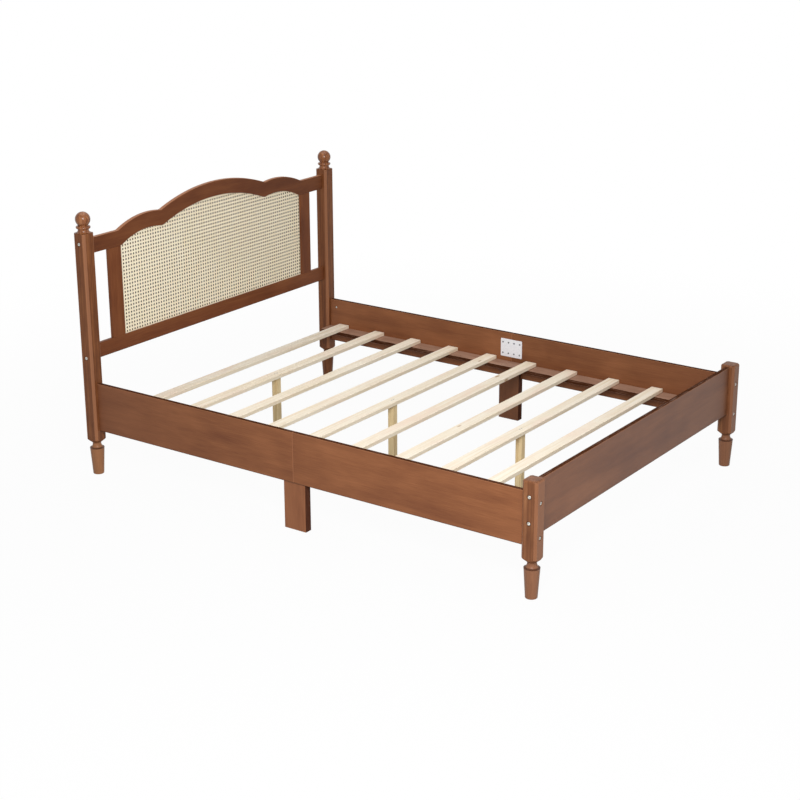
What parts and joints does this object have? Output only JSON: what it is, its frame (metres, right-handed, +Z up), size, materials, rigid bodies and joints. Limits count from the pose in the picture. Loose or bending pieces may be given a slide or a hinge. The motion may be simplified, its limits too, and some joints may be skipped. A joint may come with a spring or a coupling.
{
  "type": "rattan headboard bed",
  "caption": "Knock-down wooden double bed with turned posts, an arched headboard holding a woven cane panel, deep side rails, a low footboard and a slatted base.",
  "frame": {"origin": "on the floor under the middle of the bed, which is the bottom centre of its box", "axes": "+Z up, +Y along the bed towards the headboard, +X across the bed to the right of someone who stands at the foot and looks at the headboard"},
  "size_m": [1.632, 2.165, 1.1106],
  "materials": {
    "stained_wood": "walnut-brown stain under satin lacquer",
    "ledger_wood": "walnut-brown stain, thinner on top",
    "woven_cane": "cream open-weave cane webbing, satin",
    "backing_board": "dark brown stain, matt",
    "slat_pine": "planed bare pine, matt",
    "leg_pine": "planed bare pine, yellower, matt",
    "zinc_plate": "pale zinc plating",
    "zinc_bolt": "bright zinc plating"
  },
  "bodies": {
    "root": {"head_post_left": "stained_wood", "finial_left": "stained_wood", "foot_post_left": "stained_wood", "head_post_right": "stained_wood", "finial_right": "stained_wood", "foot_post_right": "stained_wood", "crest_rail": "stained_wood", "headboard_bottom_rail": "stained_wood", "headboard_stile_left": "stained_wood", "headboard_stile_right": "stained_wood", "cane_panel": "woven_cane", "cane_backing_panel": "backing_board", "footboard": "stained_wood", "side_rail_left_head": "stained_wood", "slat_ledger_left_head": "ledger_wood", "side_rail_left_foot": "stained_wood", "slat_ledger_left_foot": "ledger_wood", "middle_leg_left": "stained_wood", "joining_plate_left": "zinc_plate", "side_rail_right_head": "stained_wood", "slat_ledger_right_head": "ledger_wood", "side_rail_right_foot": "stained_wood", "slat_ledger_right_foot": "ledger_wood", "middle_leg_right": "stained_wood", "joining_plate_right": "zinc_plate", "bolt_crest_left": "zinc_bolt", "bolt_crest_right": "zinc_bolt", "bolt_bottom_rail_left": "zinc_bolt", "bolt_bottom_rail_right": "zinc_bolt", "bolt_footboard_left_lower": "zinc_bolt", "bolt_footboard_left_upper": "zinc_bolt", "bolt_footboard_right_lower": "zinc_bolt", "bolt_footboard_right_upper": "zinc_bolt", "bolt_rail_left_head_lower": "zinc_bolt", "bolt_rail_left_head_upper": "zinc_bolt", "bolt_rail_left_foot_lower": "zinc_bolt", "bolt_rail_left_foot_upper": "zinc_bolt", "bolt_rail_right_head_lower": "zinc_bolt", "bolt_rail_right_head_upper": "zinc_bolt", "bolt_rail_right_foot_lower": "zinc_bolt", "bolt_rail_right_foot_upper": "zinc_bolt", "slat_1": "slat_pine", "slat_2": "slat_pine", "slat_3": "slat_pine", "slat_4": "slat_pine", "slat_5": "slat_pine", "slat_6": "slat_pine", "slat_7": "slat_pine", "slat_8": "slat_pine", "slat_9": "slat_pine", "centre_leg_head": "leg_pine", "centre_leg_middle": "leg_pine", "centre_leg_foot": "leg_pine", "slat_screw_head_1": "zinc_bolt", "slat_screw_head_2": "zinc_bolt", "slat_screw_middle_1": "zinc_bolt", "slat_screw_middle_2": "zinc_bolt", "slat_screw_foot_1": "zinc_bolt", "slat_screw_foot_2": "zinc_bolt"}
  },
  "joints": []
}
